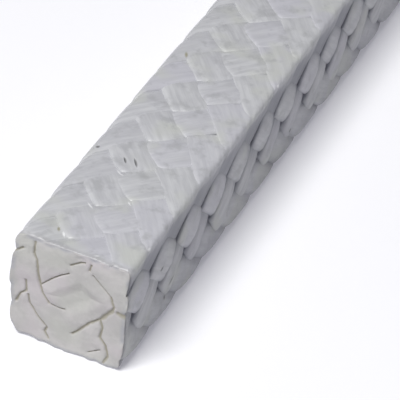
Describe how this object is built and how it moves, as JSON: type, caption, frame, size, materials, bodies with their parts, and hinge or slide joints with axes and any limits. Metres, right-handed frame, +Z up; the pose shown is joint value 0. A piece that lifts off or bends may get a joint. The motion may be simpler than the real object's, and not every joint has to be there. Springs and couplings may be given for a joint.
{
  "type": "braided gland packing",
  "caption": "Straight cut length of square braided gland packing, off-white, with leaning flattened strands on all four sides and plain cut ends.",
  "frame": {"origin": "centre of the underside, on the surface that it lies on", "axes": "+Y along the length, away from the cut end that the picture shows; +Z up, from the underside to the top"},
  "size_m": [0.025, 0.165, 0.025],
  "materials": {
    "packing_yarn": "off-white slippery yarn, braided tight and pressed square, with a dull waxy sheen and grey in the grooves"
  },
  "bodies": {
    "root": {"braided_packing": "packing_yarn"}
  },
  "joints": []
}
